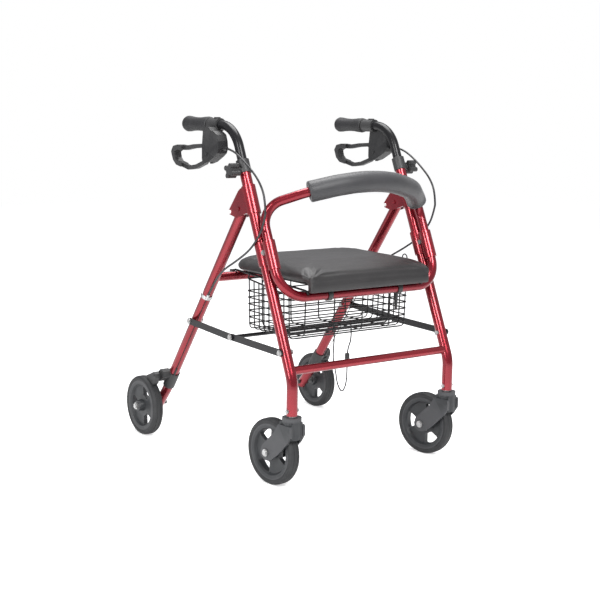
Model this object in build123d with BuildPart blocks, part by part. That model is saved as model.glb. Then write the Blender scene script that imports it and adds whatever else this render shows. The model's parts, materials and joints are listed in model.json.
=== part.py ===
from build123d import *
import os
from math import cos, sin, radians

os.makedirs("parts", exist_ok=True)

# Overall layout, millimetres. X is across, Y runs from the casters to the rear wheels, Z is up.
# Side coordinates (y, z) below are counted from the caster stems; STEM_Y moves them to the origin.
STEM_Y = -318.3
LEG_X = 231.0
LEG_TILT_Y = 0.3988
LEG_TILT_Z = 0.9170
LEG_BEND_Z = 244.4
LEG_SLOPE = LEG_TILT_Y / LEG_TILT_Z

# Tube sizes (radii)
LEG_R = 12.7
LEG_BORE = 11.2
BAR_R = 11.0
BAR_BORE = 9.4
CROSS_R = 9.5

# Wheels
WHEEL_R = 76.0
RIM_R = 63.5
TRAIL = 60.0
SWIVEL_LEFT = 6.0
SWIVEL_RIGHT = 11.0
AXLE_R = 4.0
REAR_WHEEL_X = 275.0
REAR_AXLE_Y = 584.5

# Heights and pivots (y, z)
LEG_TOP_Z = 702.7
LEG_FOOT_Z = 169.5
SOCKET_OFFSET = 30.0
REAR_TUBE = (325.0, 436.0)
FOLD_PIVOT = (196.6, 609.0)
REAR_KNEE = (546.0, 120.0)
REAR_RUN = Vector(REAR_KNEE[0] - FOLD_PIVOT[0], REAR_KNEE[1] - FOLD_PIVOT[1]).normalized()
REAR_DIR = (REAR_RUN.X, REAR_RUN.Y)
BRACE_FRONT = (26.8, 306.0)
BRACE_MID = (221.0, 310.0)
BRACE_REAR = (403.0, 320.0)
GRIP_Z = 795.0
LEVER_PIVOT = (308.0, 728.0)
LEVER_OUT = 19.0
KNOB_S = -8.0
STOP_PIN = (230.0, 600.0)
BASKET_X = 172.0
BASKET_FRONT = 90.0
BASKET_REAR = 264.0
BASKET_BOTTOM = 316.2


def at(x, y, z):
    return Vector(x, y + STEM_Y, z)


def on_leg(z, forward=0.0):
    """Side position on the leg line, or on a line parallel to it and in front of it."""
    return ((z - LEG_BEND_Z) * LEG_SLOPE - forward / LEG_TILT_Z, z)


SEAT_AXIS = on_leg(422.0, SOCKET_OFFSET)


def along_leg(distance):
    """Side position measured up the leg from its upper end."""
    top_y, top_z = on_leg(LEG_TOP_Z)
    return (top_y + distance * LEG_TILT_Y, top_z + distance * LEG_TILT_Z)


def along_rear(distance, forward=0.0):
    """Side position measured down the rear leg from the fold pivot."""
    y = FOLD_PIVOT[0] + distance * REAR_DIR[0] + forward * REAR_DIR[1]
    z = FOLD_PIVOT[1] + distance * REAR_DIR[1] - forward * REAR_DIR[0]
    return (y, z)


def side_plane(u, stem_x=0.0, swivel=0.0):
    """Plane for side views: local x to the rear, local y up, normal along the axle."""
    c = cos(radians(swivel))
    s = sin(radians(swivel))
    origin = at(stem_x + u * c, u * s, 0)
    return Plane(origin=origin, x_dir=(-s, c, 0), z_dir=(c, s, 0))


def rod(start, end, radius, mode=Mode.ADD):
    span = end - start
    with BuildSketch(Plane(origin=start, z_dir=span)) as section:
        Circle(radius)
    extrude(section.sketch, amount=span.length, mode=mode)


def cross_rod(x0, x1, yz, radius, mode=Mode.ADD):
    rod(at(x0, yz[0], yz[1]), at(x1, yz[0], yz[1]), radius, mode)


def hex_nut(x0, x1, yz, radius):
    with BuildSketch(side_plane(x0)) as section:
        with Locations(yz):
            RegularPolygon(radius, 6)
    extrude(section.sketch, amount=x1 - x0)


def pipe(points, radii, outer, inner=0.0, mode=Mode.ADD):
    with BuildLine() as route:
        FilletPolyline(*points, radius=radii)
    with BuildSketch(Plane(origin=points[0], z_dir=points[1] - points[0])) as section:
        Circle(outer)
        if inner > 0:
            Circle(inner, mode=Mode.SUBTRACT)
    sweep(section.sketch, path=route.line, mode=mode)


def side_slab(outline, x0, x1, corner=0.0, mode=Mode.ADD):
    with BuildSketch(side_plane(x0)) as section:
        Polygon(*outline, align=None)
        if corner > 0:
            fillet(section.vertices(), corner)
    extrude(section.sketch, amount=x1 - x0, mode=mode)


def dome_head(x0, outward, yz, radius, height):
    """Bolt head with a chamfered rim; outward is -1 or 1 along X."""
    cross_rod(x0, x0 + outward * height * 0.55, yz, radius)
    cross_rod(x0, x0 + outward * height, yz, radius * 0.72)


# ---------------------------------------------------------------- front frame
def front_leg(x, knob_side):
    foot = at(x, 0, LEG_FOOT_Z)
    bend = at(x, 0, LEG_BEND_Z)
    top_y, top_z = on_leg(LEG_TOP_Z)
    pipe([foot, bend, at(x, top_y, top_z)], [80], LEG_R, LEG_BORE)
    cross_rod(x, x + knob_side * 20, along_leg(KNOB_S), 3.3, Mode.SUBTRACT)
    cross_rod(x - 20, x + 20, (0, 180), 2.5, Mode.SUBTRACT)
    cross_rod(x - 20, x + 20, BRACE_FRONT, 3.0, Mode.SUBTRACT)


with BuildPart() as front_leg_left:
    front_leg(-LEG_X, -1)
front_leg_left.part.label = "front_leg_left"
export_step(front_leg_left.part, "parts/front_leg_left.step")

with BuildPart() as front_leg_right:
    front_leg(LEG_X, 1)
front_leg_right.part.label = "front_leg_right"
export_step(front_leg_right.part, "parts/front_leg_right.step")


def leg_hole(x, z0, z1, radius):
    """Clear the leg cylinder out of a piece that meets it."""
    y0, _ = on_leg(z0)
    y1, _ = on_leg(z1)
    rod(at(x, y0, z0), at(x, y1, z1), radius, Mode.SUBTRACT)


with BuildPart() as front_cross_bar:
    cross_rod(-LEG_X + 3, LEG_X - 3, (9.8, 267), CROSS_R)
    for leg_x in (-LEG_X, LEG_X):
        rod(at(leg_x, 0, 200), at(leg_x, 0, 247), LEG_R, Mode.SUBTRACT)
        leg_hole(leg_x, 236, 330, LEG_R)
front_cross_bar.part.label = "front_cross_bar"
export_step(front_cross_bar.part, "parts/front_cross_bar.step")

SOCKET_MID_Z = 514.0
with BuildPart() as seat_tube:
    tube_top = on_leg(SOCKET_MID_Z, SOCKET_OFFSET)
    pipe(
        [
            at(-LEG_X, *tube_top),
            at(-LEG_X, *SEAT_AXIS),
            at(LEG_X, *SEAT_AXIS),
            at(LEG_X, *tube_top),
        ],
        [65, 65],
        BAR_R,
        BAR_BORE,
    )
seat_tube.part.label = "seat_tube"
export_step(seat_tube.part, "parts/seat_tube.step")

# Half of the backrest bow, mirrored in X: corner points and bend radii
BACK_A = (231.0, on_leg(617.1, SOCKET_OFFSET)[0], 617.1)
BACK_B = (153.0, 65.0, 652.0)
BACK_C = (57.0, 27.0, 675.0)
BACK_RADII = [52, 112, 242, 242, 112, 52]


def back_points():
    foot = on_leg(SOCKET_MID_Z + 0.5, SOCKET_OFFSET)
    right = [at(*BACK_C), at(*BACK_B), at(*BACK_A), at(LEG_X, *foot)]
    left = [at(-LEG_X, *foot)]
    for corner in (BACK_A, BACK_B, BACK_C):
        left.append(at(-corner[0], corner[1], corner[2]))
    return left + right


with BuildPart() as backrest_tube:
    pipe(back_points(), BACK_RADII, BAR_R, BAR_BORE)
backrest_tube.part.label = "backrest_tube"
export_step(backrest_tube.part, "parts/backrest_tube.step")

PAD_R = 24.2
with BuildPart() as backrest_pad:
    pipe(back_points(), BACK_RADII, PAD_R, BAR_R)
    with BuildSketch(Plane(origin=at(-149, 63, 653), z_dir=(-0.85, 0.46, -0.27))) as left_end:
        Circle(150)
    extrude(amount=300, mode=Mode.SUBTRACT)
    with BuildSketch(Plane(origin=at(216, 115, 613), z_dir=(0.45, 0.35, -0.85))) as right_end:
        Circle(90)
    extrude(amount=160, mode=Mode.SUBTRACT)
backrest_pad.part.label = "backrest_pad"
export_step(backrest_pad.part, "parts/backrest_pad.step")

with BuildPart() as socket_clamps:
    for leg_x in (-LEG_X, LEG_X):
        low = on_leg(488)
        high = on_leg(541)
        low_front = on_leg(484, SOCKET_OFFSET)
        high_front = on_leg(545, SOCKET_OFFSET)
        rod(at(leg_x, *low), at(leg_x, *high), 16.0)
        rod(at(leg_x, *low_front), at(leg_x, *high_front), 14.2)
        web = [on_leg(492, 22), on_leg(537, 22), on_leg(537, 6), on_leg(492, 6)]
        side_slab(web, leg_x - 9, leg_x + 9)
        rod(at(leg_x, *on_leg(470)), at(leg_x, *on_leg(560)), LEG_R, Mode.SUBTRACT)
        tube_low = on_leg(470, SOCKET_OFFSET)
        tube_high = on_leg(560, SOCKET_OFFSET)
        rod(at(leg_x, *tube_low), at(leg_x, *tube_high), BAR_R, Mode.SUBTRACT)
        cross_rod(leg_x - 20, leg_x - 9, on_leg(519, 16), 6.2, Mode.SUBTRACT)
        cross_rod(leg_x + 9, leg_x + 20, on_leg(519, 16), 6.2, Mode.SUBTRACT)
socket_clamps.part.label = "socket_clamps"
export_step(socket_clamps.part, "parts/socket_clamps.step")

# Red hinge brackets: a barrel on the leg and two ears that take the rear leg
EAR_IN = 13.1
EAR_OUT = 16.1
with BuildPart() as hinge_brackets:
    for leg_x in (-LEG_X, LEG_X):
        rod(at(leg_x, *on_leg(600)), at(leg_x, *on_leg(661)), EAR_OUT)
        ear = [
            on_leg(603, -2),
            on_leg(658, -2),
            (190, 655),
            (198, 649),
            (236, 603),
            (233, 594),
            (205, 588),
        ]
        side_slab(ear, leg_x - EAR_OUT, leg_x + EAR_OUT, 2.5)
        inside = [
            on_leg(560, -16.2),
            on_leg(640, -16.2),
            (193.5, 645),
            (231.5, 599.5),
            (250, 590),
            (250, 560),
        ]
        side_slab(inside, leg_x - EAR_IN, leg_x + EAR_IN, 0, Mode.SUBTRACT)
        rod(at(leg_x, *on_leg(580)), at(leg_x, *on_leg(680)), LEG_R, Mode.SUBTRACT)
        cross_rod(leg_x - 20, leg_x + 20, FOLD_PIVOT, 4.0, Mode.SUBTRACT)
        cross_rod(leg_x - 20, leg_x + 20, STOP_PIN, 4.4, Mode.SUBTRACT)
        cross_rod(leg_x - EAR_OUT - 2, leg_x - EAR_OUT, FOLD_PIVOT, 5.2)
        cross_rod(leg_x + EAR_OUT, leg_x + EAR_OUT + 2, FOLD_PIVOT, 5.2)
hinge_brackets.part.label = "hinge_brackets"
export_step(hinge_brackets.part, "parts/hinge_brackets.step")

with BuildPart() as hinge_plugs:
    for leg_x in (-LEG_X, LEG_X):
        cross_rod(leg_x - EAR_OUT - 1.6, leg_x + EAR_OUT + 1.6, STOP_PIN, 4.4)
hinge_plugs.part.label = "hinge_plugs"
export_step(hinge_plugs.part, "parts/hinge_plugs.step")

CLAMP_BOLT = on_leg(519, 16)
with BuildPart() as front_frame_bolts:
    for side in (-1, 1):
        leg_x = side * LEG_X
        cross_rod(leg_x - EAR_OUT, leg_x + EAR_OUT, FOLD_PIVOT, 4.0)
        cross_rod(leg_x + side * 9, leg_x + side * 12, CLAMP_BOLT, 6.0)
        cross_rod(leg_x + side * 12, leg_x + side * 14.5, CLAMP_BOLT, 4.6)
        nut_x = leg_x - side * 11
        hex_nut(nut_x - 2, nut_x + 2, CLAMP_BOLT, 6.0)
        cross_rod(leg_x - side * 12.7, leg_x + side * 12.7, BRACE_FRONT, 3.0)
        cross_rod(leg_x + side * 12.7, leg_x + side * 16.6, BRACE_FRONT, 3.0)
        dome_head(leg_x + side * 16.6, side, BRACE_FRONT, 7.0, 4.0)
        nut_x = leg_x - side * 14.95
        hex_nut(nut_x - 2.25, nut_x + 2.25, BRACE_FRONT, 6.0)
        cross_rod(leg_x - 12.7, leg_x + 12.7, (0, 180), 2.5)
        dome_head(leg_x - 12.7, -1, (0, 180), 5.0, 3.6)
        hex_nut(leg_x + 12.7, leg_x + 16.2, (0, 180), 5.0)
front_frame_bolts.part.label = "front_frame_bolts"
export_step(front_frame_bolts.part, "parts/front_frame_bolts.step")

with BuildPart() as leg_collars:
    for side in (-1, 1):
        leg_x = side * LEG_X
        rod(at(leg_x, *along_leg(-15)), at(leg_x, *along_leg(16)), 15.2)
        cross_rod(leg_x, leg_x + side * 20.5, along_leg(KNOB_S), 8.0)
        rod(at(leg_x, *along_leg(-60)), at(leg_x, *along_leg(0)), LEG_R, Mode.SUBTRACT)
        rod(at(leg_x, *along_leg(-1)), at(leg_x, *along_leg(30)), LEG_BORE, Mode.SUBTRACT)
        cross_rod(leg_x, leg_x + side * 30, along_leg(KNOB_S), 3.3, Mode.SUBTRACT)
leg_collars.part.label = "leg_collars"
export_step(leg_collars.part, "parts/leg_collars.step")

with BuildPart() as caster_posts:
    for leg_x in (-LEG_X, LEG_X):
        rod(at(leg_x, 0, 140), at(leg_x, 0, 168), 6.0)
        rod(at(leg_x, 0, 167), at(leg_x, 0, LEG_FOOT_Z), 10.5)
        rod(at(leg_x, 0, LEG_FOOT_Z), at(leg_x, 0, 192), LEG_BORE)
        cross_rod(leg_x - 15, leg_x + 15, (0, 180), 2.5, Mode.SUBTRACT)
caster_posts.part.label = "caster_posts"
export_step(caster_posts.part, "parts/caster_posts.step")


# ---------------------------------------------------------------- handlebars
def handlebar(x):
    corner_y = (GRIP_Z - LEG_BEND_Z) * LEG_SLOPE
    low = on_leg(559.4)
    pipe([at(x, *low), at(x, corner_y, GRIP_Z), at(x, 443, GRIP_Z)], [80], BAR_R, BAR_BORE)


def grip(x):
    with BuildSketch(Plane(origin=at(x, 0, GRIP_Z), x_dir=(0, 1, 0), z_dir=(1, 0, 0))) as half:
        with BuildLine():
            Polyline((341, 11), (341, 15.5), (343, 17.5), (349, 18.3), (364, 17.4))
            Spline((364, 17.4), (388, 15.8), (410, 16.4), (429, 18.4))
            Polyline((429, 18.4), (438, 18.8), (443, 17), (446, 12), (446, 0))
            Polyline((446, 0), (443.2, 0), (443.2, 11), (341, 11))
        make_face()
    revolve(half.sketch, axis=Axis(at(x, 0, GRIP_Z), (0, 1, 0)))
    with BuildSketch(Plane(origin=at(x, 348, GRIP_Z - 5), z_dir=(0, 1, 0))) as heel:
        Ellipse(13.5, 15.5)
    with BuildSketch(Plane(origin=at(x, 388, GRIP_Z - 2), z_dir=(0, 1, 0))) as toe:
        Ellipse(12, 12)
    loft([heel.sketch.face(), toe.sketch.face()])
    rod(at(x, 340, GRIP_Z), at(x, 443.2, GRIP_Z), BAR_R, Mode.SUBTRACT)


HOUSING = [
    (298, 790),
    (323, 790),
    (325, 770),
    (328, 746),
    (328, 716),
    (322, 704),
    (300, 710),
    (274, 723),
    (261, 731),
    (256, 742),
    (258, 759),
    (264, 773.5),
    (280, 781),
    (292, 783),
]
LEVER_SLOT = [
    (291, 742),
    (301, 746),
    (309, 762),
    (325, 772),
    (373, 790),
    (373, 690),
    (323, 690),
    (299, 712),
    (291, 722),
]


def brake_housing(x, side):
    """Clamp on the bar with the lever block hanging outboard of it."""
    block = x + side * LEVER_OUT
    side_slab(HOUSING, block - 13, block + 13, 2)
    rod(at(x, 298, GRIP_Z), at(x, 338, GRIP_Z), 15.5)
    rod(at(x, 312, GRIP_Z + 12), at(x, 312, GRIP_Z + 17.5), 7.5)
    rod(at(block, 262, 741.5), at(block, 240, 742.5), 4.2)
    side_slab(LEVER_SLOT, block - 6.6, block + 6.6, 0, Mode.SUBTRACT)
    rod(at(x, 290, GRIP_Z), at(x, 345, GRIP_Z), BAR_R, Mode.SUBTRACT)
    cross_rod(block - 14.5, block + 14.5, LEVER_PIVOT, 3.4)


LEVER_OUTER = [
    (300, 728),
    (304, 737),
    (318, 747),
    (337, 750.5),
    (378, 748),
    (413, 743.5),
    (446, 745),
    (466, 741),
    (475, 728),
    (466, 708),
    (452, 697),
    (402, 687),
    (368, 691),
    (331, 703),
    (309, 719),
]
LEVER_INNER = [
    (324, 727),
    (328, 736),
    (341, 741),
    (378, 738.5),
    (414, 733),
    (448, 733),
    (461, 727),
    (457, 714),
    (448, 706),
    (402, 696.5),
    (368, 701),
    (337, 711),
]


def brake_lever(x, side):
    block = x + side * LEVER_OUT
    side_slab(LEVER_OUTER, block - 5.4, block + 5.4, 5)
    band = [(426, 743.8), (446, 745), (466, 741), (475, 728), (466, 708), (452, 697), (426, 692)]
    side_slab(band, block - 10, block + 10, 4)
    side_slab(LEVER_INNER, block - 12, block + 12, 3, Mode.SUBTRACT)
    cross_rod(block - 8, block + 8, LEVER_PIVOT, 3.6, Mode.SUBTRACT)


def star_knob(x, side):
    centre = along_leg(KNOB_S)
    with BuildSketch(side_plane(x + side * 21.5 if side > 0 else x - 44)) as star:
        with Locations(centre):
            Circle(9.5)
            with PolarLocations(12.5, 4, start_angle=25):
                Circle(5.8)
        fillet(star.vertices(), 1.8)
    extrude(star.sketch, amount=22.5)
    cross_rod(x + side * 11.3, x + side * 23, centre, 3.0)


with BuildPart() as handlebar_left:
    handlebar(-LEG_X)
handlebar_left.part.label = "handlebar_left"
export_step(handlebar_left.part, "parts/handlebar_left.step")

with BuildPart() as handlebar_right:
    handlebar(LEG_X)
handlebar_right.part.label = "handlebar_right"
export_step(handlebar_right.part, "parts/handlebar_right.step")

with BuildPart() as grip_left:
    grip(-LEG_X)
grip_left.part.label = "grip_left"
export_step(grip_left.part, "parts/grip_left.step")

with BuildPart() as grip_right:
    grip(LEG_X)
grip_right.part.label = "grip_right"
export_step(grip_right.part, "parts/grip_right.step")

with BuildPart() as brake_housing_left:
    brake_housing(-LEG_X, -1)
brake_housing_left.part.label = "brake_housing_left"
export_step(brake_housing_left.part, "parts/brake_housing_left.step")

with BuildPart() as brake_housing_right:
    brake_housing(LEG_X, 1)
brake_housing_right.part.label = "brake_housing_right"
export_step(brake_housing_right.part, "parts/brake_housing_right.step")

with BuildPart() as brake_lever_left:
    brake_lever(-LEG_X, -1)
brake_lever_left.part.label = "brake_lever_left"
export_step(brake_lever_left.part, "parts/brake_lever_left.step")

with BuildPart() as brake_lever_right:
    brake_lever(LEG_X, 1)
brake_lever_right.part.label = "brake_lever_right"
export_step(brake_lever_right.part, "parts/brake_lever_right.step")

with BuildPart() as height_knob_left:
    star_knob(-LEG_X, -1)
height_knob_left.part.label = "height_knob_left"
export_step(height_knob_left.part, "parts/height_knob_left.step")

with BuildPart() as height_knob_right:
    star_knob(LEG_X, 1)
height_knob_right.part.label = "height_knob_right"
export_step(height_knob_right.part, "parts/height_knob_right.step")


# ---------------------------------------------------------------- rear frame
def rear_leg(x):
    top = along_rear(-9)
    pipe(
        [at(x, *top), at(x, *REAR_KNEE), at(x, 592.5, 67)],
        [60],
        LEG_R,
        LEG_BORE,
    )
    cross_rod(x - 20, x + 20, FOLD_PIVOT, 4.2, Mode.SUBTRACT)
    cross_rod(x - 20, x + 20, BRACE_REAR, 3.0, Mode.SUBTRACT)
    cross_rod(x - 20, x + 20, (REAR_AXLE_Y, WHEEL_R), 4.0, Mode.SUBTRACT)


with BuildPart() as rear_leg_left:
    rear_leg(-LEG_X)
rear_leg_left.part.label = "rear_leg_left"
export_step(rear_leg_left.part, "parts/rear_leg_left.step")

with BuildPart() as rear_leg_right:
    rear_leg(LEG_X)
rear_leg_right.part.label = "rear_leg_right"
export_step(rear_leg_right.part, "parts/rear_leg_right.step")

with BuildPart() as rear_cross_tube:
    cross_rod(-LEG_X + 3, LEG_X - 3, REAR_TUBE, BAR_R)
    for leg_x in (-LEG_X, LEG_X):
        rod(at(leg_x, *along_rear(150)), at(leg_x, *along_rear(320)), LEG_R, Mode.SUBTRACT)
rear_cross_tube.part.label = "rear_cross_tube"
export_step(rear_cross_tube.part, "parts/rear_cross_tube.step")

with BuildPart() as rear_axles:
    for side in (-1, 1):
        leg_x = side * LEG_X
        hub = (REAR_AXLE_Y, WHEEL_R)
        cross_rod(leg_x - side * 15, leg_x + side * 66, hub, AXLE_R)
        cross_rod(leg_x + side * 12.7, leg_x + side * 28, hub, 8.0)
        dome_head(leg_x + side * 66, side, hub, 8.6, 7.0)
rear_axles.part.label = "rear_axles"
export_step(rear_axles.part, "parts/rear_axles.step")

with BuildPart() as rear_axle_caps:
    for side in (-1, 1):
        leg_x = side * LEG_X
        hub = (REAR_AXLE_Y, WHEEL_R)
        cross_rod(leg_x - side * 12.7, leg_x - side * 19, hub, 5.8)
        cross_rod(leg_x - side * 12, leg_x - side * 15, hub, AXLE_R, Mode.SUBTRACT)
rear_axle_caps.part.label = "rear_axle_caps"
export_step(rear_axle_caps.part, "parts/rear_axle_caps.step")

with BuildPart() as rear_frame_bolts:
    for side in (-1, 1):
        leg_x = side * LEG_X
        cross_rod(leg_x - side * 12.7, leg_x + side * 20, BRACE_REAR, 3.0)
        cross_rod(leg_x + side * 12.7, leg_x + side * 16.4, BRACE_REAR, 6.0)
        dome_head(leg_x + side * 20, side, BRACE_REAR, 7.0, 4.0)
        nut_x = leg_x - side * 14.95
        hex_nut(nut_x - 2.25, nut_x + 2.25, BRACE_REAR, 6.0)
rear_frame_bolts.part.label = "rear_frame_bolts"
export_step(rear_frame_bolts.part, "parts/rear_frame_bolts.step")


SHOE_PIN = (529.0, 164.0)
SHOE_CLEAR = WHEEL_R + 1.6


def brake_bracket(x, side):
    """Sleeve on the rear leg with a cheek that carries the shoe pin."""
    rod(at(x, *along_rear(537)), at(x, *along_rear(585)), 15.2)
    cheek = [(505, 176), (521, 181), (535, 169), (537, 155), (527, 147), (508, 160)]
    inner = x + side * 11
    outer = x + side * 33.5
    side_slab(cheek, min(inner, outer), max(inner, outer), 3)
    rod(at(x, *along_rear(500)), at(x, *along_rear(620)), LEG_R, Mode.SUBTRACT)
    cross_rod(x + side * 30, x + side * 49, SHOE_PIN, 2.5)


def tyre_edge(angle):
    y = REAR_AXLE_Y + SHOE_CLEAR * cos(radians(angle))
    return (y, WHEEL_R + SHOE_CLEAR * sin(radians(angle)))


def brake_arm(x, side):
    """Shoe in front of the tyre, hinged on the bracket pin."""
    inner = x + side * 34
    outer = x + side * 47.5
    shoe = [
        (522, 158),
        (522, 168),
        (531, 173),
        (549, 165),
        (567, 158),
        tyre_edge(104),
        tyre_edge(112),
        tyre_edge(120),
        tyre_edge(128),
        (530, 142),
    ]
    side_slab(shoe, min(inner, outer), max(inner, outer), 1.5)
    cross_rod(x + side * 30, x + side * 56, SHOE_PIN, 2.7, Mode.SUBTRACT)


with BuildPart() as brake_bracket_left:
    brake_bracket(-LEG_X, -1)
brake_bracket_left.part.label = "brake_bracket_left"
export_step(brake_bracket_left.part, "parts/brake_bracket_left.step")

with BuildPart() as brake_bracket_right:
    brake_bracket(LEG_X, 1)
brake_bracket_right.part.label = "brake_bracket_right"
export_step(brake_bracket_right.part, "parts/brake_bracket_right.step")

with BuildPart() as brake_arm_left:
    brake_arm(-LEG_X, -1)
brake_arm_left.part.label = "brake_arm_left"
export_step(brake_arm_left.part, "parts/brake_arm_left.step")

with BuildPart() as brake_arm_right:
    brake_arm(LEG_X, 1)
brake_arm_right.part.label = "brake_arm_right"
export_step(brake_arm_right.part, "parts/brake_arm_right.step")

# Cable stops on the rear legs with the bare brake wires below them
WIRE_X = LEG_X + 9.0
WIRE_FORWARD = 14.4
STOP_S = 270.0
WIRE_END = 536.5
with BuildPart() as cable_stops:
    for side in (-1, 1):
        leg_x = side * LEG_X
        low = along_rear(STOP_S, WIRE_FORWARD)
        high = along_rear(STOP_S - 16, WIRE_FORWARD)
        rod(at(leg_x, *along_rear(STOP_S - 5)), at(leg_x, *along_rear(STOP_S + 5)), 14.6)
        rod(at(side * WIRE_X, *high), at(side * WIRE_X, *low), 3.6)
        rod(at(leg_x, *along_rear(STOP_S - 20)), at(leg_x, *along_rear(STOP_S + 20)), LEG_R, Mode.SUBTRACT)
cable_stops.part.label = "cable_stops"
export_step(cable_stops.part, "parts/cable_stops.step")

with BuildPart() as brake_wires:
    for side in (-1, 1):
        wire_x = side * WIRE_X
        rod(at(wire_x, *along_rear(STOP_S, WIRE_FORWARD)), at(wire_x, *along_rear(WIRE_END, WIRE_FORWARD)), 0.9)
        rod(at(wire_x, *along_rear(510, WIRE_FORWARD)), at(wire_x, *along_rear(WIRE_END, WIRE_FORWARD)), 2.6)
brake_wires.part.label = "brake_wires"
export_step(brake_wires.part, "parts/brake_wires.step")


# ---------------------------------------------------------------- wheels
def wheel_centre(u, stem_x, swivel, trail):
    c = cos(radians(swivel))
    s = sin(radians(swivel))
    return at(stem_x + u * c - trail * s, u * s + trail * c, WHEEL_R)


def spun(profile, stem_x, swivel, trail):
    c = cos(radians(swivel))
    s = sin(radians(swivel))
    centre = wheel_centre(0, stem_x, swivel, trail)
    with BuildSketch(Plane(origin=centre, x_dir=(0, 0, 1), z_dir=(-s, c, 0))) as half:
        Polygon(*profile, align=None)
    revolve(half.sketch, axis=Axis(centre, (c, s, 0)))


def ring_point(trail, radius, angle):
    return (trail + radius * cos(radians(angle)), WHEEL_R + radius * sin(radians(angle)))


def wheel_core(stem_x, swivel, trail, first, hub_low, hub_high):
    profile = [
        (AXLE_R + 0.15, hub_low),
        (12.5, hub_low),
        (15.5, -7),
        (28, -5.5),
        (50, -5.5),
        (54, -11.5),
        (RIM_R, -12.5),
        (RIM_R, 12.5),
        (54, 11.5),
        (50, 5.5),
        (28, 5.5),
        (15.5, 7),
        (12.5, hub_high),
        (AXLE_R + 0.15, hub_high),
    ]
    spun(profile, stem_x, swivel, trail)
    with BuildSketch(side_plane(-20, stem_x, swivel)) as windows:
        for step in range(3):
            mid = first + 120 * step
            with BuildLine():
                ThreePointArc(
                    ring_point(trail, 51, mid - 25),
                    ring_point(trail, 51, mid),
                    ring_point(trail, 51, mid + 25),
                )
                Line(ring_point(trail, 51, mid + 25), ring_point(trail, 27, mid + 20))
                ThreePointArc(
                    ring_point(trail, 27, mid + 20),
                    ring_point(trail, 27, mid),
                    ring_point(trail, 27, mid - 20),
                )
                Line(ring_point(trail, 27, mid - 20), ring_point(trail, 51, mid - 25))
            make_face()
        fillet(windows.vertices(), 3.5)
    extrude(windows.sketch, amount=40, mode=Mode.SUBTRACT)


def tyre(stem_x, swivel, trail):
    profile = [
        (RIM_R, -12.2),
        (66, -13.6),
        (70, -14),
        (73.6, -12.4),
        (75.4, -9),
        (76, -5.2),
        (75, -4.4),
        (76, -3.6),
        (76, 3.6),
        (75, 4.4),
        (76, 5.2),
        (75.4, 9),
        (73.6, 12.4),
        (70, 14),
        (66, 13.6),
        (RIM_R, 12.2),
    ]
    spun(profile, stem_x, swivel, trail)


def caster_fork(stem_x, swivel):
    rod(at(stem_x, 0, 117), at(stem_x, 0, 160), 20.6)
    rod(at(stem_x, 0, 157), at(stem_x, 0, 166.4), 21.8)
    outline = [
        (-20, 150),
        (-20, 126),
        (-8, 108),
        (20, 80),
        (43, 62),
        (52, 58.5),
        (66, 58.5),
        (76, 66),
        (78.5, 77),
        (74, 90),
        (56, 108),
        (34, 128),
        (20, 150),
    ]
    for u in (-22.5, 16.0):
        with BuildSketch(side_plane(u, stem_x, swivel)) as arm:
            Polygon(*outline, align=None)
            fillet(arm.vertices(), 4)
        extrude(arm.sketch, amount=6.5)
    with BuildSketch(side_plane(-16.5, stem_x, swivel)) as bridge:
        Polygon((-18, 156), (-18, 120), (0, 120), (26, 134), (22, 156), align=None)
    extrude(bridge.sketch, amount=33)
    with BuildSketch(side_plane(-16, stem_x, swivel)) as room:
        with Locations((TRAIL, WHEEL_R)):
            Circle(79.5)
    extrude(room.sketch, amount=32, mode=Mode.SUBTRACT)
    rod(at(stem_x, 0, 100), at(stem_x, 0, 170), 6.3, Mode.SUBTRACT)
    axle_in = wheel_centre(-30, stem_x, swivel, TRAIL)
    axle_out = wheel_centre(30, stem_x, swivel, TRAIL)
    rod(axle_in, axle_out, AXLE_R, Mode.SUBTRACT)


def caster_axle(stem_x, swivel):
    marks = [-28.5, -26, -22.5, 22.5, 28]
    points = [wheel_centre(u, stem_x, swivel, TRAIL) for u in marks]
    rod(points[2], points[3], AXLE_R)
    rod(points[1], points[2], 8.3)
    rod(points[0], points[1], 6.0)
    rod(points[3], points[4], 7.0)


with BuildPart() as caster_fork_left:
    caster_fork(-LEG_X, SWIVEL_LEFT)
caster_fork_left.part.label = "caster_fork_left"
export_step(caster_fork_left.part, "parts/caster_fork_left.step")

with BuildPart() as caster_fork_right:
    caster_fork(LEG_X, SWIVEL_RIGHT)
caster_fork_right.part.label = "caster_fork_right"
export_step(caster_fork_right.part, "parts/caster_fork_right.step")

with BuildPart() as caster_axle_left:
    caster_axle(-LEG_X, SWIVEL_LEFT)
caster_axle_left.part.label = "caster_axle_left"
export_step(caster_axle_left.part, "parts/caster_axle_left.step")

with BuildPart() as caster_axle_right:
    caster_axle(LEG_X, SWIVEL_RIGHT)
caster_axle_right.part.label = "caster_axle_right"
export_step(caster_axle_right.part, "parts/caster_axle_right.step")

with BuildPart() as caster_wheel_left:
    wheel_core(-LEG_X, SWIVEL_LEFT, TRAIL, 63, -15, 15)
caster_wheel_left.part.label = "caster_wheel_left"
export_step(caster_wheel_left.part, "parts/caster_wheel_left.step")

with BuildPart() as caster_wheel_right:
    wheel_core(LEG_X, SWIVEL_RIGHT, TRAIL, 120, -15, 15)
caster_wheel_right.part.label = "caster_wheel_right"
export_step(caster_wheel_right.part, "parts/caster_wheel_right.step")

with BuildPart() as caster_tyre_left:
    tyre(-LEG_X, SWIVEL_LEFT, TRAIL)
caster_tyre_left.part.label = "caster_tyre_left"
export_step(caster_tyre_left.part, "parts/caster_tyre_left.step")

with BuildPart() as caster_tyre_right:
    tyre(LEG_X, SWIVEL_RIGHT, TRAIL)
caster_tyre_right.part.label = "caster_tyre_right"
export_step(caster_tyre_right.part, "parts/caster_tyre_right.step")

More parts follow.
